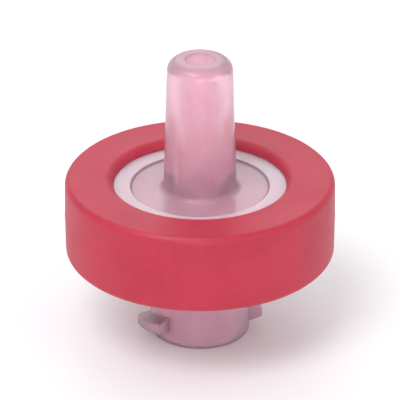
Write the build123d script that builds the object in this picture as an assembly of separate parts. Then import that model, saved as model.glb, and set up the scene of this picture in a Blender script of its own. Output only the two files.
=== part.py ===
from build123d import *
import os

# A disc syringe filter for small samples.
#
# Two translucent moulded shells clamp a round membrane between them, and a coloured
# ring moulded round both rims holds the stack shut. Liquid enters at the female Luer
# lock inlet, spreads over a ribbed chamber, passes the membrane, gathers in the ring
# and spoke channels of the drain and leaves through the male Luer slip tip.
#
# Units are millimetres. The origin is the centre of the inlet rim, on which the
# filter stands, and +Z follows the flow, from the inlet to the outlet tip.

# Luer cones
luer_taper = 0.06  # change of diameter for each millimetre of length
socket_mouth_diameter = 4.3
socket_lead_in = 0.15  # chamfer at the mouth
tip_end_diameter = 3.96
tip_length = 8.45  # from the outlet face to the end of the tip
tip_end_round = 0.75
tip_root_round = 0.35
tip_bore_end_diameter = 1.7
tip_bore_root_diameter = 2.1

# Inlet column and its locking lugs
column_wall = 0.9  # round the mouth of the socket
column_height = 5.95  # from the rim to the inlet face
column_flare = 0.1  # growth of the radius from the rim to the root, which frees it from the mould
column_rim_bevel = 0.2
column_root_round = 0.4
lug_count = 2
lug_span = 7.8  # across opposite lugs
lug_arc = 48.0  # degrees round the column
lug_lead = 5.0  # climb of the lug's helix in one turn
lug_root_thickness = 1.25
lug_crest_thickness = 0.65
lug_setback = 0.12  # from the rim to the lug's nearest corner
lug_bite = 0.35  # depth of the lug's root inside the column wall
lug_stations = 7  # sections lofted along each lug

# Membrane, which sets the diameter of the disc
membrane_diameter = 13.0
membrane_thickness = 0.2
membrane_clearance = 0.05  # on the radius, all round
membrane_pinch = 1.2  # width of the membrane's edge held between the shells

# Shells
rim_wall = 0.55  # outside the membrane's seat
inlet_web = 1.95  # from the inlet face to the membrane
outlet_web = 1.75  # from the membrane to the outlet face
spigot_height = 0.4  # by which the outlet shell enters the rim wall of the inlet shell
spigot_clearance = 0.03  # on the radius
land_width = 0.95  # raised band round each face, which the ring's mould shuts on
land_height = 0.15
land_share = 0.6  # most of the way from the ring to the column that the band may take

# Spreading chamber above the inlet socket
chamber_depth = 0.3
chamber_rib_count = 8
chamber_rib_width = 0.45
chamber_rib_gap = 0.05  # from the top of a rib to the membrane
chamber_rib_inset = 0.35  # from the socket to the inner end of a rib

# Drain behind the membrane
drain_depth = 0.2
drain_ring_width = 0.5
drain_land_width = 0.45  # left between two ring channels
drain_hub_width = 0.25  # least left between the funnel and the innermost ring channel
drain_spoke_count = 8
drain_spoke_width = 0.5
drain_funnel_depth = 0.6

# Overmoulded ring
ring_wall = 1.2  # outside the shells
ring_lip = 1.6  # from the shells' edge in to the opening, at the ring's end faces
ring_cover = 0.55  # height of the ring above each shell's face
ring_opening_draft = 0.25  # by which the opening narrows in radius down to the shell's face
ring_edge_bevel = 0.3
ring_mouth_bevel = 0.3

# Heights along the flow, each built on the one before
inlet_face_z = column_height
membrane_low_z = inlet_face_z + inlet_web
membrane_high_z = membrane_low_z + membrane_thickness
parting_z = membrane_high_z + spigot_height
outlet_face_z = membrane_high_z + outlet_web
tip_end_z = outlet_face_z + tip_length
inlet_sunk_z = inlet_face_z + land_height
outlet_sunk_z = outlet_face_z - land_height
ring_low_z = inlet_face_z - ring_cover
ring_high_z = outlet_face_z + ring_cover
chamber_floor_z = membrane_low_z - chamber_depth
drain_channel_z = membrane_high_z + drain_depth

# Radii, from the membrane outwards and back in
seat_radius = membrane_diameter / 2 + membrane_clearance
open_radius = membrane_diameter / 2 - membrane_pinch
shell_radius = seat_radius + rim_wall
ring_radius = shell_radius + ring_wall
ring_mouth_radius = shell_radius - ring_lip
ring_face_radius = ring_mouth_radius - ring_opening_draft
column_radius = socket_mouth_diameter / 2 + column_wall
column_root_radius = column_radius + column_flare
land_room = land_share * (ring_face_radius - column_root_radius)
land_radius = ring_face_radius - min(land_width, land_room)
sunk_radius = land_radius - land_height
funnel_radius = tip_bore_root_diameter / 2 + drain_funnel_depth


def luer_radius(end_diameter, distance):
    """Radius of a Luer cone at a distance from the end whose diameter is known."""
    return (end_diameter + luer_taper * distance) / 2


def room_for(size, room):
    """A round of the wanted size, or most of the room for it where that is less."""
    return min(size, 0.9 * room)


def corner_of(face, point):
    """The corner of a flat section that lies nearest to a point."""
    return face.vertices().sort_by_distance(Vector(*point))[0]


def turned(points, rounds=(), bevels=()):
    """A solid turned about Z from a closed half section of (radius, height) points.

    rounds and bevels pair a corner of the section with the size of its round or bevel."""
    half = make_face(Polyline(*points, close=True))
    for point, radius in rounds:
        half = fillet(corner_of(half, point), radius)
    for point, length in bevels:
        half = chamfer(corner_of(half, point), length)
    return revolve(Plane.XZ * half, Axis.Z)


def spokes(count, inner_radius, outer_radius, width, low_z, high_z):
    """Straight bars that run outwards from near the axis, evenly spaced round it."""
    bar = Box(
        outer_radius - inner_radius,
        width,
        high_z - low_z,
        align=(Align.MIN, Align.CENTER, Align.MIN),
    )
    return [place * Pos(inner_radius, 0, low_z) * bar for place in PolarLocations(0, count)]


def locking_lug():
    """One lug, lofted through tapered sections that climb a right-handed helix."""
    root = column_radius - lug_bite
    crest = lug_span / 2
    slope = (lug_root_thickness - lug_crest_thickness) / 2
    climb = lug_lead * lug_arc / 360
    middle_z = lug_setback + (lug_root_thickness + climb) / 2
    sections = []
    for station in range(lug_stations):
        share = station / (lug_stations - 1) - 0.5
        low = middle_z + climb * share - lug_root_thickness / 2
        high = low + lug_root_thickness
        outline = Polyline(
            (root, low),
            (crest, low + slope),
            (crest, high - slope),
            (root, high),
            close=True,
        )
        sections.append(Rot(0, 0, lug_arc * share) * (Plane.XZ * make_face(outline)))
    return loft(sections)


def chamber_ribs(throat_radius):
    """Radial ribs that hold the membrane off the floor of the spreading chamber."""
    return spokes(
        chamber_rib_count,
        throat_radius + chamber_rib_inset,
        open_radius + chamber_rib_width / 2,
        chamber_rib_width,
        chamber_floor_z - chamber_depth / 2,
        membrane_low_z - chamber_rib_gap,
    )


def inlet_shell():
    """Inlet half: female Luer lock column, web, rim wall and ribbed chamber."""
    throat_radius = luer_radius(socket_mouth_diameter, -chamber_floor_z)
    section = [
        (socket_mouth_diameter / 2 + socket_lead_in, 0),
        (column_radius, 0),
        (column_root_radius, inlet_sunk_z),
        (sunk_radius, inlet_sunk_z),
        (land_radius, inlet_face_z),
        (shell_radius, inlet_face_z),
        (shell_radius, parting_z),
        (seat_radius, parting_z),
        (seat_radius, membrane_low_z),
        (open_radius, membrane_low_z),
        (open_radius, chamber_floor_z),
        (throat_radius, chamber_floor_z),
        (luer_radius(socket_mouth_diameter, -socket_lead_in), socket_lead_in),
    ]
    root_round = room_for(column_root_round, sunk_radius - column_root_radius)
    shell = turned(
        section,
        rounds=[((column_root_radius, inlet_sunk_z), root_round)],
        bevels=[((column_radius, 0), column_rim_bevel)],
    )
    for rib in chamber_ribs(throat_radius):
        shell += rib
    lug = locking_lug()
    for place in PolarLocations(0, lug_count):
        shell += place * lug
    return shell


def drain_channels():
    """Ring channels joined by spokes, cut into the face behind the membrane."""
    pitch = drain_ring_width + drain_land_width
    room = open_radius - funnel_radius - drain_hub_width + drain_land_width
    cuts = []
    for index in range(int(room / pitch)):
        outer = open_radius - index * pitch
        inner = outer - drain_ring_width
        section = [
            (inner, membrane_high_z),
            (outer, membrane_high_z),
            (outer, drain_channel_z),
            (inner, drain_channel_z),
        ]
        cuts.append(turned(section))
    return cuts + spokes(
        drain_spoke_count,
        0,
        open_radius - drain_ring_width / 2,
        drain_spoke_width,
        membrane_high_z,
        drain_channel_z,
    )


def outlet_bore():
    """Tapered bore of the tip, which opens as a funnel behind the membrane."""
    section = [
        (0, membrane_high_z),
        (funnel_radius, membrane_high_z),
        (tip_bore_root_diameter / 2, membrane_high_z + drain_funnel_depth),
        (tip_bore_end_diameter / 2, tip_end_z),
        (0, tip_end_z),
    ]
    return turned(section)


def outlet_shell():
    """Outlet half: spigot with the drain, web and male Luer slip tip."""
    tip_end_radius = tip_end_diameter / 2
    tip_root_radius = luer_radius(tip_end_diameter, tip_end_z - outlet_sunk_z)
    spigot_radius = seat_radius - spigot_clearance
    section = [
        (0, membrane_high_z),
        (spigot_radius, membrane_high_z),
        (spigot_radius, parting_z),
        (shell_radius, parting_z),
        (shell_radius, outlet_face_z),
        (land_radius, outlet_face_z),
        (sunk_radius, outlet_sunk_z),
        (tip_root_radius, outlet_sunk_z),
        (tip_end_radius, tip_end_z),
        (0, tip_end_z),
    ]
    end_round = room_for(tip_end_round, tip_end_radius - tip_bore_end_diameter / 2)
    root_round = room_for(tip_root_round, sunk_radius - tip_root_radius)
    rounds = [
        ((tip_root_radius, outlet_sunk_z), root_round),
        ((tip_end_radius, tip_end_z), end_round),
    ]
    shell = turned(section, rounds=rounds) - outlet_bore()
    for cut in drain_channels():
        shell -= cut
    return shell


def filter_membrane():
    """The membrane disc, pinched at its edge between the two shells."""
    disc = Cylinder(
        membrane_diameter / 2,
        membrane_thickness,
        align=(Align.CENTER, Align.CENTER, Align.MIN),
    )
    return Pos(0, 0, membrane_low_z) * disc


def overmoulded_ring():
    """The coloured ring: a channel section that closes on the rims of both shells."""
    section = [
        (ring_mouth_radius, ring_low_z),
        (ring_radius, ring_low_z),
        (ring_radius, ring_high_z),
        (ring_mouth_radius, ring_high_z),
        (ring_face_radius, outlet_face_z),
        (shell_radius, outlet_face_z),
        (shell_radius, inlet_face_z),
        (ring_face_radius, inlet_face_z),
    ]
    bevels = []
    for z in (ring_low_z, ring_high_z):
        bevels.append(((ring_radius, z), ring_edge_bevel))
        bevels.append(((ring_mouth_radius, z), ring_mouth_bevel))
    return turned(section, bevels=bevels)


pieces = {
    "inlet_shell": inlet_shell(),
    "outlet_shell": outlet_shell(),
    "filter_membrane": filter_membrane(),
    "overmoulded_ring": overmoulded_ring(),
}

os.makedirs("parts", exist_ok=True)
for name, piece in pieces.items():
    export_step(piece, f"parts/{name}.step")
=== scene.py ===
import math

import bpy
import numpy as np
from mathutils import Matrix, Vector


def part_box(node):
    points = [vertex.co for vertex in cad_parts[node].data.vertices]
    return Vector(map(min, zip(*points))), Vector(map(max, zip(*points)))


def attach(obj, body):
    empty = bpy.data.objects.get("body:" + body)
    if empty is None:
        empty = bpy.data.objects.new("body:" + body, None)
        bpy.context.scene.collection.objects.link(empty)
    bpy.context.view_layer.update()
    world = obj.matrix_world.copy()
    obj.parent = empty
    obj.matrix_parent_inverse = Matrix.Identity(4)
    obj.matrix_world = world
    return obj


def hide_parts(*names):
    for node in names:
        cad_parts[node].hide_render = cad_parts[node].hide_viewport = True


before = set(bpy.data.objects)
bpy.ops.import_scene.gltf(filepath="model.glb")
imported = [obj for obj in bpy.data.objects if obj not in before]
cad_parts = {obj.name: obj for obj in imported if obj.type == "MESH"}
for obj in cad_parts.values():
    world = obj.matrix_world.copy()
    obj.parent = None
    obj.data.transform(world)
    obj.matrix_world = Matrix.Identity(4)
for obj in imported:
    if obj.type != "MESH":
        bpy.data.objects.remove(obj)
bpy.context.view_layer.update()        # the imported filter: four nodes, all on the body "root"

mm = 0.001               # sizes below are in millimetres, meshes in metres
slack = 1e-6             # for telling whether a point lies on a given wall, in millimetres

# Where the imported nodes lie, in millimetres: lowest point, highest point and radius.
places = {}
for node in ("inlet_shell", "outlet_shell", "filter_membrane", "overmoulded_ring"):
    low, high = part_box(node)
    radius = min(-low.x, -low.y, high.x, high.y)     # the least, so that no side stands proud
    places[node] = {"low": low.z / mm, "high": high.z / mm, "radius": radius / mm}
print("loaded the frame:", ", ".join(places))

meshing = {
    "guard": 0.03,                       # from a round to the nearest row of the flat beside it
    "guardShare": 0.3,                   # and no more of a short flat than this
    "leastSteps": 3, "mostSteps": 12,    # round a corner, the most from a radius of 1 mm up
    "sharpAngle": 62.0,                  # degrees between faces, past which an edge stays crisp
}


# Rows of a closed half section. A corner is (radius, height, round, spacing), where
# spacing is the longest step on the run that follows it. A round is an arc between its
# two tangent points: centre + round * (cos a, sin a), with a turning evenly. Each run
# has a row just clear of the arcs at its ends, so that flat faces stay flat in the light.
def roundedSection(corners, guard=meshing["guard"]):
    points = np.array([corner[:2] for corner in corners], float)
    rounds = np.array([corner[2] for corner in corners], float)
    back = np.roll(points, 1, axis=0) - points
    ahead = np.roll(points, -1, axis=0) - points
    back /= np.linalg.norm(back, axis=1)[:, None]
    ahead /= np.linalg.norm(ahead, axis=1)[:, None]
    half = np.arccos(np.clip((back * ahead).sum(axis=1), -1, 1)) / 2
    reach = (rounds / np.tan(half))[:, None]
    toCentre = back + ahead
    toCentre /= np.linalg.norm(toCentre, axis=1)[:, None]
    centres = points + toCentre * (rounds / np.sin(half))[:, None]
    starts, ends = points + back * reach, points + ahead * reach
    least, most = meshing["leastSteps"], meshing["mostSteps"]
    rows = []
    for i, (_, _, rounding, spacing) in enumerate(corners):
        first, last = starts[i] - centres[i], ends[i] - centres[i]
        begin = math.atan2(first[1], first[0])
        turn = math.atan2(last[1], last[0]) - begin
        turn = (turn + math.pi) % (2 * math.pi) - math.pi
        steps = int(np.clip(round(most * math.sqrt(rounding)), least, most))
        a = begin + turn * np.linspace(0, 1, steps + 1)
        rows.append(centres[i] + rounding * np.column_stack([np.cos(a), np.sin(a)]))
        following = starts[(i + 1) % len(corners)]
        length = np.linalg.norm(following - ends[i])
        share = min(guard / length, meshing["guardShare"])
        count = max(1, math.ceil(length / spacing))
        shares = np.linspace(share, 1 - share, count + 1)[:, None]
        rows.append(ends[i] * (1 - shares) + following * shares)
    return np.concatenate(rows)


# Angles of the columns, for every row: between two neighbouring edges the columns are
# evenly spread. edges is an array of rows by edges, in degrees, and counts says how many
# columns lie between each edge and the next. The last edge is the first, once round.
def spreadColumns(edges, counts):
    u = np.concatenate([j + np.arange(n) / n for j, n in enumerate(counts)])
    steps = np.diff(edges, axis=1)[:, :, None]
    within = np.clip(u[None, :] - np.arange(len(counts))[:, None], 0, 1)
    return np.radians(edges[:, :1] + (steps * within[None]).sum(axis=1))


# The rows, once for every column: radius and height as arrays of rows by columns.
def turnRows(rows, angle):
    radius = np.repeat(rows[:, :1], angle.shape[1], axis=1)
    height = np.repeat(rows[:, 1:], angle.shape[1], axis=1)
    return radius, height


# 0 at low, 1 at high, and 3t^2 - 2t^3 between them. low may be the greater.
def easeStep(low, high, value):
    t = np.clip((value - low) / (high - low), 0, 1)
    return t * t * (3 - 2 * t)


# The angle from the nearest of count directions, spaced evenly from 0, with its sign.
def fromNearest(angle, count):
    pitch = 2 * math.pi / count
    return (angle + pitch / 2) % pitch - pitch / 2


# The angle, in degrees, that a distance sideways takes up at a radius: arcsin (x / r).
def angleAcross(distance, radius):
    return np.degrees(np.arcsin(distance / radius))


# A skin over a grid of rows by columns. A point is (radius cos angle, radius sin angle,
# height). Columns close round the axis. Rows close on themselves too, unless the first
# and the last are poles on the axis, which are single points that close in a fan.
def turnedMesh(name, radius, height, angle, poles=False):
    grid = np.stack([radius * np.cos(angle), radius * np.sin(angle), height], axis=-1) * mm
    rows, columns = grid.shape[:2]
    index = np.arange(rows * columns).reshape(rows, columns)
    if poles:
        index = index - (columns - 1)
        index[0], index[-1] = 0, (rows - 2) * columns + 1
        points = np.concatenate([grid[0, :1], grid[1:-1].reshape(-1, 3), grid[-1, :1]])
        near, far = index[:-1], index[1:]
    else:
        points = grid.reshape(-1, 3)
        near, far = index, np.roll(index, -1, axis=0)
    corners = [near, far, np.roll(far, -1, axis=1), np.roll(near, -1, axis=1)]
    quads = np.stack(corners, axis=-1).reshape(-1, 4)
    a, b, c, d = (points[quads[:, k]] for k in range(4))
    volume = (np.cross(b - a, c - a) * a).sum() + (np.cross(c - a, d - a) * a).sum()
    if volume < 0:                                  # the faces point inwards: turn them
        quads = quads[:, ::-1]
    keep = quads != np.roll(quads, -1, axis=1)      # a fan's quads have one point twice
    totals = keep.sum(axis=1)
    mesh = bpy.data.meshes.new(name)
    mesh.vertices.add(len(points))
    mesh.vertices.foreach_set("co", points.astype(np.float32).ravel())
    mesh.loops.add(int(totals.sum()))
    mesh.loops.foreach_set("vertex_index", quads[keep].astype(np.int32))
    mesh.polygons.add(len(totals))
    mesh.polygons.foreach_set("loop_start", (np.cumsum(totals) - totals).astype(np.int32))
    mesh.update(calc_edges=True)
    mesh.validate()
    mesh.shade_smooth()
    mesh.set_sharp_from_angle(angle=math.radians(meshing["sharpAngle"]))
    return mesh


# The second material is the band's, with its painted highlight.
# The faces of a shell's raised band take the second material: those whose centres lie
# outside its inner radius, less the margin, and nearer than reach to the shell's face.
def markPaintedHighlightBand(mesh, size, margin=0.05, reach=0.1):
    centres = np.empty(3 * len(mesh.polygons), np.float32)
    mesh.polygons.foreach_get("center", centres)
    x, y, z = centres.reshape(-1, 3).T / mm
    onBand = np.hypot(x, y) > size["bandRadius"] - margin
    onBand &= np.abs(z - size["faceHeight"]) < reach
    mesh.polygons.foreach_set("material_index", onBand.astype(np.int32))


# A finished piece: it rides on the body and stands for its CAD node, which it hides.
def addPiece(name, mesh, materials, node):
    piece = bpy.data.objects.new(name, mesh)
    bpy.context.scene.collection.objects.link(piece)
    for material in materials:
        mesh.materials.append(material)
    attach(piece, "root")
    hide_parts(node)
    print("made", name, len(mesh.polygons), "faces")


# An empty shader group with named inputs, as (label, kind, value), and one output.
def newGroup(name, inputs, output, outputKind):
    group = bpy.data.node_groups.new(name, "ShaderNodeTree")
    for label, kind, value in inputs:
        socket = group.interface.new_socket(label, in_out="INPUT", socket_type=kind)
        if value is not None:
            socket.default_value = value
    group.interface.new_socket(output, in_out="OUTPUT", socket_type=outputKind)
    given = group.nodes.new("NodeGroupInput").outputs
    wanted = group.nodes.new("NodeGroupOutput").inputs[output]
    return group, given, wanted


# Sets a socket to a plain value, or joins another node's output to it.
def feed(tree, socket, value):
    if isinstance(value, bpy.types.NodeSocket):
        tree.links.new(value, socket)
    else:
        socket.default_value = value


# The result of a Math node, whose values are numbers or other nodes' outputs.
def mathNode(tree, operation, *values):
    node = tree.nodes.new("ShaderNodeMath")
    node.operation = operation
    for socket, value in zip(node.inputs, values):
        feed(tree, socket, value)
    return node.outputs[0]


# Fractal noise from 0 to 1 at a position in metres, with scale in waves to the metre.
def noiseNode(tree, position, scale, detail=2.0, roughness=0.5, distortion=0.0):
    node = tree.nodes.new("ShaderNodeTexNoise")
    feed(tree, node.inputs["Vector"], position)
    feed(tree, node.inputs["Scale"], scale)
    node.inputs["Detail"].default_value = detail
    node.inputs["Roughness"].default_value = roughness
    node.inputs["Distortion"].default_value = distortion
    return node.outputs["Fac"]


# A colour between two others: first where the share is 0, second where it is 1.
def blendColors(tree, share, first, second):
    node = tree.nodes.new("ShaderNodeMix")
    node.data_type = "RGBA"
    colors = [socket for socket in node.inputs if socket.type == "RGBA"]
    feed(tree, node.inputs["Factor"], share)
    feed(tree, colors[0], first)
    feed(tree, colors[1], second)
    return [socket for socket in node.outputs if socket.type == "RGBA"][0]


# Satin of a moulded face: a fine grain copied from the tool, and broad soft ripples
# where the melt flowed and shrank, drawn out upwards by the stretch.
# Height = grain * share + ripple * (1 - share).
def makeMouldedFace(stretch=0.45):
    group, given, height = newGroup(
        "mouldedFace",
        [("Position", "NodeSocketVector", None), ("Grain Scale", "NodeSocketFloat", 9000.0),
         ("Ripple Scale", "NodeSocketFloat", 420.0), ("Grain Share", "NodeSocketFloat", 0.35)],
        "Height", "NodeSocketFloat",
    )
    stretched = group.nodes.new("ShaderNodeMapping")
    feed(group, stretched.inputs["Vector"], given["Position"])
    stretched.inputs["Scale"].default_value = (1, 1, stretch)
    grain = noiseNode(group, given["Position"], given["Grain Scale"], detail=3.0, roughness=0.6)
    ripple = noiseNode(group, stretched.outputs["Vector"], given["Ripple Scale"],
                       detail=1.5, roughness=0.4, distortion=0.6)
    fine = mathNode(group, "MULTIPLY", grain, given["Grain Share"])
    rest = mathNode(group, "SUBTRACT", 1.0, given["Grain Share"])
    broad = mathNode(group, "MULTIPLY", ripple, rest)
    feed(group, height, mathNode(group, "ADD", fine, broad))
    return group


# Slow change of tone through a melt: Color goes from Deep to Pale with two noises, clouds
# several millimetres long and wisps under a millimetre. The blend of the two runs from
# Deep at the first of the limits to Pale at the second.
def makeMeltTone(wispScale=6.0, wispShare=0.28, limits=(0.34, 0.66)):
    group, given, color = newGroup(
        "meltTone",
        [("Position", "NodeSocketVector", None), ("Cloud Scale", "NodeSocketFloat", 240.0),
         ("Deep", "NodeSocketColor", (0.5, 0.5, 0.5, 1)),
         ("Pale", "NodeSocketColor", (0.8, 0.8, 0.8, 1))],
        "Color", "NodeSocketColor",
    )
    finer = mathNode(group, "MULTIPLY", given["Cloud Scale"], wispScale)
    cloud = noiseNode(group, given["Position"], given["Cloud Scale"],
                      roughness=0.55, distortion=0.4)
    wisp = noiseNode(group, given["Position"], finer, distortion=1.2)
    blend = mathNode(group, "ADD", mathNode(group, "MULTIPLY", cloud, 1 - wispShare),
                     mathNode(group, "MULTIPLY", wisp, wispShare))
    ramp = group.nodes.new("ShaderNodeMapRange")
    ramp.interpolation_type = "SMOOTHSTEP"
    feed(group, ramp.inputs["Value"], blend)
    ramp.inputs["From Min"].default_value, ramp.inputs["From Max"].default_value = limits
    share = ramp.outputs["Result"]
    feed(group, color, blendColors(group, share, given["Deep"], given["Pale"]))
    return group


mouldedFace, meltTone = makeMouldedFace(), makeMeltTone()
print("made the shader groups")


# A group placed in a material, with its own values by the labels of the group's inputs.
def placeGroup(tree, group, position, values):
    node = tree.nodes.new("ShaderNodeGroup")
    node.node_tree = group
    feed(tree, node.inputs["Position"], position)
    for label, value in values.items():
        node.inputs[label].default_value = value
    return node.outputs[0]


def newMaterial(name):
    material = bpy.data.materials.new(name)
    material.use_nodes = True
    tree = material.node_tree
    return material, tree, tree.nodes["Principled BSDF"]


# Where a point of the surface lies on the piece, in metres.
def objectPosition(tree):
    return tree.nodes.new("ShaderNodeTexCoord").outputs["Object"]


# Roughness = base + spread * (patches - 0.5), where patches run from 0 to 1.
def setRoughness(tree, shader, patches, look):
    lowest = look["roughness"] - look["patchSpread"] / 2
    rough = mathNode(tree, "MULTIPLY_ADD", patches, look["patchSpread"], lowest)
    feed(tree, shader.inputs["Roughness"], rough)


# A bump of the look's height, from where the face's height is 0 to where it is 1.
def setBump(tree, shader, height, look):
    bump = tree.nodes.new("ShaderNodeBump")
    bump.inputs["Strength"].default_value = look["bumpStrength"]
    bump.inputs["Distance"].default_value = look["bumpHeight"] * mm
    feed(tree, bump.inputs["Height"], height)
    feed(tree, shader.inputs["Normal"], bump.outputs["Normal"])


# Scales are in waves to the metre, and scatterDepth is how far red light gets, in millimetres.
# Painted light: the pink of deep and pale stands for red light thrown onto milky-white plastic by
# the red ring and its surroundings.
naturalLook = {
    "deep": (0.94, 0.58, 0.695, 1), "pale": (0.98, 0.67, 0.77, 1), "cloudScale": 260.0,
    "grainScale": 7000.0, "rippleScale": 500.0, "grainShare": 0.3,
    "roughness": 0.20, "patchScale": 500.0, "patchSpread": 0.06,
    "bumpStrength": 0.35, "bumpHeight": 0.02,
    "clearness": 0.70, "index": 1.49,
    "scatter": 1.0, "scatterDepth": 0.45, "scatterTint": (1.0, 0.75, 0.8),
}

# The bands that the ring's mould shuts on: rougher and less clear, with a paler tone that is a
# painted highlight for the bright light along the band. Their pink is painted light, as in
# naturalLook.
paintedHighlightBandLook = {
    **naturalLook,
    "deep": (0.97, 0.71, 0.78, 1), "pale": (0.99, 0.78, 0.84, 1),
    "roughness": 0.34, "grainShare": 0.6, "clearness": 0.45,
}

redLook = {
    "deep": (0.40, 0.0112, 0.037, 1), "pale": (0.46, 0.018, 0.050, 1), "cloudScale": 200.0,
    "grainScale": 6000.0, "rippleScale": 380.0, "grainShare": 0.4,
    "roughness": 0.48, "patchScale": 420.0, "patchSpread": 0.12,
    "bumpStrength": 0.4, "bumpHeight": 0.02,
    "clearness": 0.0, "index": 1.49,
    "scatter": 0.35, "scatterDepth": 0.35, "scatterTint": (1.0, 0.25, 0.3),
}


# Polypropylene with a satin face. Natural, it is milky and half clear. Filled with
# pigment, it clears nothing and is only a little softer in the light.
def polypropylene(name, look):
    material, tree, shader = newMaterial(name)
    position = objectPosition(tree)
    tone = placeGroup(tree, meltTone, position, {
        "Cloud Scale": look["cloudScale"], "Deep": look["deep"], "Pale": look["pale"]})
    face = placeGroup(tree, mouldedFace, position, {
        "Grain Scale": look["grainScale"], "Ripple Scale": look["rippleScale"],
        "Grain Share": look["grainShare"]})
    feed(tree, shader.inputs["Base Color"], tone)
    setRoughness(tree, shader, noiseNode(tree, position, look["patchScale"]), look)
    setBump(tree, shader, face, look)
    shader.inputs["Transmission Weight"].default_value = look["clearness"]
    shader.inputs["IOR"].default_value = look["index"]
    shader.inputs["Subsurface Weight"].default_value = look["scatter"]
    shader.inputs["Subsurface Radius"].default_value = look["scatterTint"]
    shader.inputs["Subsurface Scale"].default_value = look["scatterDepth"] * mm
    return material


membraneLook = {
    "pore": (0.88, 0.88, 0.87, 1), "fibre": (0.97, 0.97, 0.96, 1),
    "fibreScale": 9000.0, "matScale": 900.0, "matShare": 0.5,
    "roughness": 0.9, "patchSpread": 0.12, "bumpStrength": 0.7, "bumpHeight": 0.03,
}


# The membrane: white, matt, a felt of very fine fibres with pores between them.
# Height = fibres + share * matting, and the matting sets the roughness too.
def porousMembrane():
    look = membraneLook
    material, tree, shader = newMaterial("porousMembrane")
    position = objectPosition(tree)
    fibres = noiseNode(tree, position, look["fibreScale"],
                       detail=6.0, roughness=0.7, distortion=1.5)
    matting = noiseNode(tree, position, look["matScale"], detail=3.0, roughness=0.6)
    tone = blendColors(tree, fibres, look["pore"], look["fibre"])
    feed(tree, shader.inputs["Base Color"], tone)
    setRoughness(tree, shader, matting, look)
    height = mathNode(tree, "MULTIPLY_ADD", matting, look["matShare"], fibres)
    setBump(tree, shader, height, look)
    return material


natural = polypropylene("naturalPolypropylene", naturalLook)
paintedHighlightBand = polypropylene("paintedHighlightBandPolypropylene", paintedHighlightBandLook)
red = polypropylene("redPolypropylene", redLook)
membrane = porousMembrane()
print("made the materials")

ringSizes = {
    "mouthRadius": 5.5, "faceRadius": 5.25,    # of its opening, at the end face and at the shell
    "shellRadius": 7.1, "cover": 0.55,         # the shells that it holds, and its height over them
    "outerRound": 0.42, "mouthRound": 0.5, "innerRound": 0.04,
    "draft": 0.03,                             # on the radius, from the split line to each end
    "ridgeHeight": 0.014, "ridgeWidth": 0.05,  # the split line itself
    "sink": 0.03,                              # dishing of each end face where the wall is thickest
    "gateAngle": 118.0, "gateRadius": 0.55, "gateDepth": 0.09, "gateFloor": 0.8,
    "nubRadius": 0.24, "nubHeight": 0.06, "nubTop": 0.6,
    "airGap": 0.01,                            # left between the skins of two pieces
    "fineArc": 5.0, "columns": (110, 48, 210), # finer columns, this many degrees beside the gate
}


# The ring: a channel section turned round the axis. The outer wall leans in from the
# split line by draft * distance / half height, less ridge * (1 - (d / width)^2) there.
# Each end face is dished by sink * sin(pi t)^2 across its width, and the gate's mark is
# a round dent, depth * ease(distance), with the snapped nub standing in it. gateFloor and
# nubTop are the flat shares of their radii.
def makeRing():
    size, place = ringSizes, places["overmoulded_ring"]
    low, high, outer = place["low"], place["high"], place["radius"]
    middle, halfHeight = (low + high) / 2, (high - low) / 2
    shell = size["shellRadius"] + size["airGap"]
    lowFace = low + size["cover"] - size["airGap"]
    highFace = high - size["cover"] + size["airGap"]
    small, mouth, edge = size["innerRound"], size["mouthRound"], size["outerRound"]
    rows = roundedSection([
        (size["mouthRadius"], low, mouth, 0.3),
        (outer, low, edge, 0.13),
        (outer, high, edge, 0.3),
        (size["mouthRadius"], high, mouth, 0.2),
        (size["faceRadius"], highFace, small, 0.6),
        (shell, highFace, small, 0.6),
        (shell, lowFace, small, 0.6),
        (size["faceRadius"], lowFace, small, 0.2),
    ])
    gate, fine = size["gateAngle"], size["fineArc"]
    edges = np.tile([0.0, gate - fine, gate + fine, 360.0], (len(rows), 1))
    angle = spreadColumns(edges, size["columns"])
    radius, height = turnRows(rows, angle)
    fromSplit = np.abs(height - middle)
    outside = radius > outer - 0.5 * edge              # the wall and the outer part of its rounds
    onWall = radius > outer - slack
    ridge = onWall * size["ridgeHeight"] * np.clip(1 - (fromSplit / size["ridgeWidth"]) ** 2, 0, 1)
    lean = size["ridgeHeight"] - ridge + size["draft"] * fromSplit / halfHeight
    away = np.hypot(outer * (angle - math.radians(gate)), height - middle)
    gateRadius, nubRadius = size["gateRadius"], size["nubRadius"]
    dent = size["gateDepth"] * easeStep(gateRadius, size["gateFloor"] * gateRadius, away)
    nub = size["nubHeight"] * easeStep(nubRadius, size["nubTop"] * nubRadius, away)
    radius -= np.where(outside, lean + dent - nub, 0)
    across = np.clip((radius - size["mouthRadius"]) / (outer - size["mouthRadius"]), 0, 1)
    onEnd = fromSplit > halfHeight - slack
    height -= np.sign(height - middle) * onEnd * size["sink"] * np.sin(math.pi * across) ** 2
    mesh = turnedMesh("overmouldedRing", radius, height, angle)
    addPiece("overmouldedRing", mesh, [red], "overmoulded_ring")


makeRing()

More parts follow.
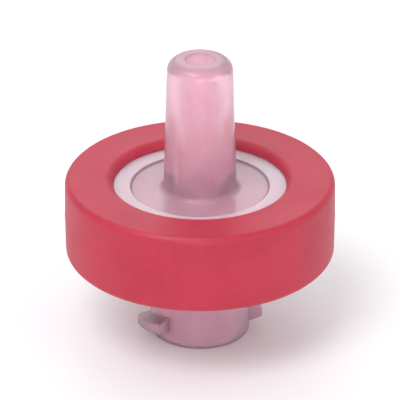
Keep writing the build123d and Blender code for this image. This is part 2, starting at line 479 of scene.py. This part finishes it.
inletSizes = {
    "socketRadius": 2.15, "leadIn": 0.15, "taper": 0.03,     # the Luer socket, by its radius
    "columnRadius": 3.05, "rootRadius": 3.15, "rimRound": 0.16, "rootRound": 0.4,
    "faceHeight": 5.95, "bandHeight": 0.15, "bandRadius": 4.3, "sunkRadius": 4.15,
    "seatHeight": 7.9, "seatRadius": 6.55, "seatRound": 0.02,
    "openRadius": 5.3, "floorHeight": 7.6,                   # the spreading chamber
    "lugRadius": 3.9, "lugHeight": 1.078, "lugArc": 48.0, "lugClimb": 0.667,
    "lugHalfRoot": 0.5375, "lugHalfCrest": 0.325, "lugFoot": 0.03, "lugHead": 0.1,
    "lugCrestRound": 0.12, "lugEndRound": 0.2,
    "climbFade": 1.6,                                        # over a lug, till the rows lie level
    "lugMargin": 0.2, "wallMargin": 0.01,                    # round the points that belong to a lug
    "ribCount": 8, "ribHalfWidth": 0.225, "ribTop": 7.85, "ribStart": 2.27,
    "ribSide": 0.02, "ribEase": 0.03,                        # half widths of a rib's steep sides
    "lineHeight": 0.012, "lineHalfWidth": 0.04, "lineTop": 5.5,    # where the mould's slides met
    "columns": (3, 1, 8, 8, 6, 1, 6, 1, 14, 1, 3, 3),        # between the edges of a quarter turn
}


# The radius of the column's wall: it grows evenly from the rim to the root.
def columnWall(height):
    size = inletSizes
    flare = (size["rootRadius"] - size["columnRadius"]) / (size["faceHeight"] + size["bandHeight"])
    return size["columnRadius"] + flare * height


# Lowest and highest point of a lug's root, midway along the lug.
def lugFlanks():
    size = inletSizes
    return size["lugHeight"] - size["lugHalfRoot"], size["lugHeight"] + size["lugHalfRoot"]


# The inlet shell's half section, with a lug's section on the column's wall. It runs up the
# column, out along the face, up the rim and down through the seat, chamber and socket.
def inletRows():
    size, place = inletSizes, places["inlet_shell"]
    rim, parting, outer = place["low"], place["high"], place["radius"]
    face, seat, floor = size["faceHeight"], size["seatHeight"], size["floorHeight"]
    sunk, openRadius = face + size["bandHeight"], size["openRadius"]
    throat = size["socketRadius"] - size["taper"] * floor
    lugLow, lugHigh = lugFlanks()
    crestLow, crestHigh = (size["lugHeight"] + side * size["lugHalfCrest"] for side in (-1, 1))
    return roundedSection([
        (size["socketRadius"] + size["leadIn"], rim, 0.05, 0.2),
        (size["columnRadius"], rim, size["rimRound"], 0.1),
        (columnWall(lugLow), lugLow, size["lugFoot"], 0.12),
        (size["lugRadius"], crestLow, size["lugCrestRound"], 0.1),
        (size["lugRadius"], crestHigh, size["lugCrestRound"], 0.12),
        (columnWall(lugHigh), lugHigh, size["lugHead"], 0.25),
        (size["rootRadius"], sunk, size["rootRound"], 0.3),
        (size["sunkRadius"], sunk, 0.05, 0.1),
        (size["bandRadius"], face, 0.06, 0.6),
        (outer, face, 0.05, 0.6),
        (outer, parting, 0.04, 0.3),
        (size["seatRadius"], parting, 0.04, 0.3),
        (size["seatRadius"], seat, 0.03, 0.4),
        (openRadius, seat, size["seatRound"], 0.1),
        (openRadius, floor, 0.05, 0.3),
        (throat, floor, 0.12, 0.4),
        (size["socketRadius"] - size["taper"] * size["leadIn"], rim + size["leadIn"], 0.06, 0.1),
    ])


# Angles of the inlet shell's columns, which gather at the sides of the ribs, at the ends
# of the lugs and at the slides' line. A quarter turn is laid out, then mirrored and doubled.
def inletAngles(rows):
    size = inletSizes
    one = np.ones(len(rows))
    pitch = 360 / size["ribCount"]
    ribRadius = np.clip(rows[:, 0], size["ribStart"], size["openRadius"])
    inner = angleAcross(size["ribHalfWidth"] - size["ribSide"], ribRadius)
    side = angleAcross(size["ribHalfWidth"] + size["ribSide"], ribRadius)
    lugEnd = size["lugArc"] / 2
    roundStart = lugEnd - math.degrees(size["lugEndRound"] / size["lugRadius"])
    line = math.degrees(size["lineHalfWidth"] / size["columnRadius"])
    quarter = [0 * one, inner, side, roundStart * one, lugEnd * one, pitch - side,
               pitch - inner, pitch + inner, pitch + side, 90 - side, 90 - inner,
               (90 - line) * one, 90 * one]
    halfTurn = quarter + [180 - edge for edge in reversed(quarter[:-1])]
    edges = np.stack(halfTurn + [180 + edge for edge in halfTurn[1:]], axis=1)
    return spreadColumns(edges, (size["columns"] + size["columns"][::-1]) * 2)


# The two lugs and the line between them. The rows that cross a lug stand out from the wall
# by end(x) * its section, where x is the distance from its end and end(x) rises as a
# quarter circle. The rows climb with the angle along a lug and sink back from lug to lug.
# The line: the wall is raised by lineHeight * (1 - (x / half width)^2).
def raiseLugs(rows, radius, height, angle):
    size = inletSizes
    lugLow, lugHigh = lugFlanks()
    quarterTurn, lugEnd = math.pi / 2, math.radians(size["lugArc"] / 2)
    fromLug = fromNearest(angle, 2)
    fromEnd = np.clip((lugEnd - np.abs(fromLug)) * size["lugRadius"], 0, None)
    rise = np.clip(fromEnd / size["lugEndRound"], 0, 1)
    end = np.sqrt(1 - (1 - rise) ** 2)
    wall = columnWall(height)
    lugMargin, wallMargin = size["lugMargin"], size["wallMargin"]
    nearLug = (height > lugLow - lugMargin) & (height < lugHigh + lugMargin)
    radius = np.where(nearLug & (radius > wall + slack), wall + end * (radius - wall), radius)

    along = np.clip(fromLug / math.radians(size["lugArc"]), -0.5, 0.5)
    back = 0.5 * np.sign(fromLug) * (quarterTurn - np.abs(fromLug)) / (quarterTurn - lugEnd)
    helix = np.where(np.abs(fromLug) > lugEnd, back, along)
    onColumn = (radius > size["columnRadius"] - wallMargin) & (height < size["lineTop"])
    onColumn &= radius < size["lugRadius"] + wallMargin
    foot = easeStep(size["rimRound"], lugLow - size["lugFoot"], rows[:, 1])
    head = 1 - easeStep(lugHigh + size["lugHead"], lugHigh + size["climbFade"], rows[:, 1])
    height = height + np.where(onColumn, (foot * head)[:, None] * size["lugClimb"] * helix, 0)

    fromLine = (quarterTurn - np.abs(fromLug)) * size["columnRadius"]
    line = np.clip(1 - (fromLine / size["lineHalfWidth"]) ** 2, 0, 1)
    radius += (onColumn & (height > size["rimRound"])) * size["lineHeight"] * line
    return radius, height


# Heights of the spreading chamber with its ribs: within a rib's half width the floor is
# lifted to the rib's top, and the wall round it in proportion, less the nearer the seat.
def raiseRibs(radius, height, angle):
    size = inletSizes
    floor, seatEdge = size["floorHeight"], size["seatHeight"] - size["seatRound"]
    half, steep, start = size["ribHalfWidth"], size["ribSide"], size["ribStart"]
    offRib = np.abs(radius * np.sin(fromNearest(angle, size["ribCount"])))
    share = easeStep(half + steep, half - steep, offRib)
    share = share * easeStep(start - size["ribEase"], start + size["ribEase"], radius)
    lift = share * (size["ribTop"] - floor) * (seatEdge - height) / (seatEdge - floor)
    inChamber = (radius < size["openRadius"] + slack) & (height > floor - slack)
    return np.where(inChamber & (height < seatEdge), height + lift, height)


# The inlet shell: its section turned round the axis, with the lugs and ribs laid on it.
def makeInletShell():
    size = inletSizes
    rows = inletRows()
    angle = inletAngles(rows)
    radius, height = turnRows(rows, angle)
    radius, height = raiseLugs(rows, radius, height, angle)
    height = raiseRibs(radius, height, angle)
    mesh = turnedMesh("inletShell", radius, height, angle)
    markPaintedHighlightBand(mesh, size)
    addPiece("inletShell", mesh, [natural, paintedHighlightBand], "inlet_shell")


makeInletShell()

outletSizes = {
    "spigotRadius": 6.52, "underHeight": 8.1, "partingHeight": 8.5, "faceHeight": 9.85,
    "bandHeight": 0.15, "bandRadius": 4.3, "sunkRadius": 4.15,
    "tipRadius": 1.98, "taper": 0.03, "rootRound": 0.35, "endRound": 0.75,
    "boreEnd": 0.85, "boreRoot": 1.05, "funnelRadius": 1.65, "funnelDepth": 0.6,
    "channelDepth": 0.2, "channelOuter": (5.3, 4.35, 3.4, 2.45), "channelWidth": 0.5,
    "spokeCount": 8, "spokeHalfWidth": 0.25, "spokeStart": 1.45, "spokeEnd": 5.05,
    "steep": 0.02,                                           # half width of a channel's side
    "columns": (4, 1, 14, 1, 4),                             # from one spoke to the next
    "guard": 0.02,                                           # as in meshing, for its narrow lands
}


# The outlet shell's half section. It runs out under the membrane's side through the four
# ring channels of the drain, up the rim, in along the face, up the tip and down its bore.
def outletRows():
    size, place = outletSizes, places["outlet_shell"]
    tipEnd, outer, steep = place["high"], place["radius"], size["steep"]
    under, parting, face = size["underHeight"], size["partingHeight"], size["faceHeight"]
    sunk, ceiling = face - size["bandHeight"], under + size["channelDepth"]
    drain = []
    for channel in reversed(size["channelOuter"]):
        inside = channel - size["channelWidth"]
        drain += [(inside - steep, under, 0.02, 0.2), (inside + steep, ceiling, 0.02, 0.2),
                  (channel - steep, ceiling, 0.02, 0.2), (channel + steep, under, 0.02, 0.2)]
    return roundedSection([
        (size["funnelRadius"], under, 0.04, 0.3),
        *drain,
        (size["spigotRadius"], under, 0.06, 0.3),
        (size["spigotRadius"], parting, 0.03, 0.3),
        (outer, parting, 0.04, 0.3),
        (outer, face, 0.05, 0.6),
        (size["bandRadius"], face, 0.06, 0.1),
        (size["sunkRadius"], sunk, 0.05, 0.3),
        (size["tipRadius"] + size["taper"] * (tipEnd - sunk), sunk, size["rootRound"], 0.35),
        (size["tipRadius"], tipEnd, size["endRound"], 0.2),
        (size["boreEnd"], tipEnd, 0.1, 0.4),
        (size["boreRoot"], under + size["funnelDepth"], 0.15, 0.1),
    ], size["guard"])


# The outlet shell, turned in the same way as the inlet shell. The drain's spokes are cut
# where the distance from a spoke's line is under its half width: there the heights between
# the drain's floor and its ceiling all go to the ceiling.
def makeOutletShell():
    size, rows = outletSizes, outletRows()
    half, steep, count = size["spokeHalfWidth"], size["steep"], size["spokeCount"]
    one, pitch = np.ones(len(rows)), 360 / size["spokeCount"]
    spokeRadius = np.clip(rows[:, 0], size["spokeStart"], size["spokeEnd"])
    inner = angleAcross(half - steep, spokeRadius)
    side = angleAcross(half + steep, spokeRadius)
    spoke = [0 * one, inner, side, pitch - side, pitch - inner]
    edges = [pitch * k + edge for k in range(count) for edge in spoke] + [360 * one]
    angle = spreadColumns(np.stack(edges, axis=1), size["columns"] * count)
    radius, height = turnRows(rows, angle)
    under, ceiling = size["underHeight"], size["underHeight"] + size["channelDepth"]
    offSpoke = np.abs(radius * np.sin(fromNearest(angle, count)))
    cut = easeStep(half + steep, half - steep, offSpoke)
    inDrain = (radius < size["spokeEnd"]) & (height < ceiling) & (height > under - slack)
    height = np.where(inDrain, height + cut * (ceiling - height), height)
    mesh = turnedMesh("outletShell", radius, height, angle)
    markPaintedHighlightBand(mesh, size)
    addPiece("outletShell", mesh, [natural, paintedHighlightBand], "outlet_shell")


makeOutletShell()

membraneSizes = {
    "skin": 0.01, "edgeRound": 0.03,           # air over each face, and the round of its edge
    "openRadius": 5.3, "cockle": 0.02, "ribCount": 8,
    "columns": 96, "innermost": 0.05,          # and the least radius of a row beside a pole
}


# The membrane: a thin disc, sunk by cockle * (0.5 - 0.5 cos 8a) * sin(pi r / open radius)
# between the ribs that it lies over. Its faces meet at a pole on the axis.
def makeMembrane():
    size, place = membraneSizes, places["filter_membrane"]
    low, high = place["low"] + size["skin"], place["high"] - size["skin"]
    edge, pole, point = place["radius"], 1e-6, 1e-7          # a corner can't lie on the axis
    rows = roundedSection([
        (pole, low, point, 0.25), (edge, low, size["edgeRound"], 0.1),
        (edge, high, size["edgeRound"], 0.25), (pole, high, point, 1.0),
    ])
    rows = np.concatenate([[[0, low]], rows[rows[:, 0] > size["innermost"]], [[0, high]]])
    angle = spreadColumns(np.tile([0.0, 360.0], (len(rows), 1)), [size["columns"]])
    radius, height = turnRows(rows, angle)
    wave = 0.5 - 0.5 * np.cos(size["ribCount"] * angle)
    span = np.clip(radius / size["openRadius"], 0, 1)
    height -= size["cockle"] * wave * np.sin(math.pi * span)
    mesh = turnedMesh("membraneDisc", radius, height, angle, poles=True)
    addPiece("membraneDisc", mesh, [membrane], "filter_membrane")


makeMembrane()

studio = {
    "floorHalf": 8.0, "floorTone": (0.86, 0.86, 0.87, 1), "floorRoughness": 0.6,    # metres
    "worldTone": (0.985, 0.98, 1.0, 1), "worldStrength": 0.85,
    "aim": (0.0, 0.0, 8.8), "azimuth": -28.0, "elevation": 27.0,
    "distance": 0.22, "frameWidth": 24.5, "sensorWidth": 36.0, "clip": (0.01, 20.0),
}

# name, azimuth and elevation from the filter in degrees, distance and size in metres, power
lamps = [
    ("keyLamp", -150.0, 56.0, 1.5, 0.80, 10.0),
    ("fillLamp", -60.0, 22.0, 1.7, 1.00, 2.5),
    ("backLamp", 68.0, 36.0, 1.6, 1.00, 3.0),
    ("lowLamp", -118.0, 13.0, 1.5, 0.45, 4.0),
]


# Unit vector from the filter towards an azimuth, from +X round to +Y, and an elevation.
def towards(azimuth, elevation):
    a, e = math.radians(azimuth), math.radians(elevation)
    return Vector((math.cos(a) * math.cos(e), math.sin(a) * math.cos(e), math.sin(e)))


# A lamp or camera, at a distance in metres from the point aimed at and turned towards it.
def placeFacing(name, data, azimuth, elevation, distance):
    thing = bpy.data.objects.new(name, data)
    bpy.context.scene.collection.objects.link(thing)
    way = towards(azimuth, elevation)
    thing.location = Vector(studio["aim"]) * mm + way * distance
    thing.rotation_euler = way.to_track_quat("Z", "Y").to_euler()
    return thing


def makeFloor():
    half = studio["floorHalf"]
    corners = [(-half, -half, 0), (half, -half, 0), (half, half, 0), (-half, half, 0)]
    mesh = bpy.data.meshes.new("floor")
    mesh.from_pydata(corners, [], [(0, 1, 2, 3)])
    floor = bpy.data.objects.new("floor", mesh)
    bpy.context.scene.collection.objects.link(floor)
    material, _, shader = newMaterial("paleFloor")
    shader.inputs["Base Color"].default_value = studio["floorTone"]
    shader.inputs["Roughness"].default_value = studio["floorRoughness"]
    mesh.materials.append(material)


def makeLights():
    world = bpy.data.worlds.new("softWorld")
    world.use_nodes = True
    background = world.node_tree.nodes["Background"]
    background.inputs["Color"].default_value = studio["worldTone"]
    background.inputs["Strength"].default_value = studio["worldStrength"]
    bpy.context.scene.world = world
    for name, azimuth, elevation, distance, size, power in lamps:
        data = bpy.data.lights.new(name, "AREA")
        data.shape, data.size, data.energy = "DISK", size, power
        lamp = placeFacing(name, data, azimuth, elevation, distance)
        lamp.visible_camera = False


# The camera's azimuth is from the front: 0 looks along +Y.
def makeCamera():
    data = bpy.data.cameras.new("camera")
    data.sensor_width = studio["sensorWidth"]
    data.lens = data.sensor_width * studio["distance"] / (studio["frameWidth"] * mm)
    data.clip_start, data.clip_end = studio["clip"]
    bpy.context.scene.camera = placeFacing(
        "camera", data, studio["azimuth"] - 90, studio["elevation"], studio["distance"])


makeFloor()
makeLights()
makeCamera()
bpy.context.scene.view_settings.view_transform = "Standard"
print("set up the studio")

bpy.context.view_layer.update()
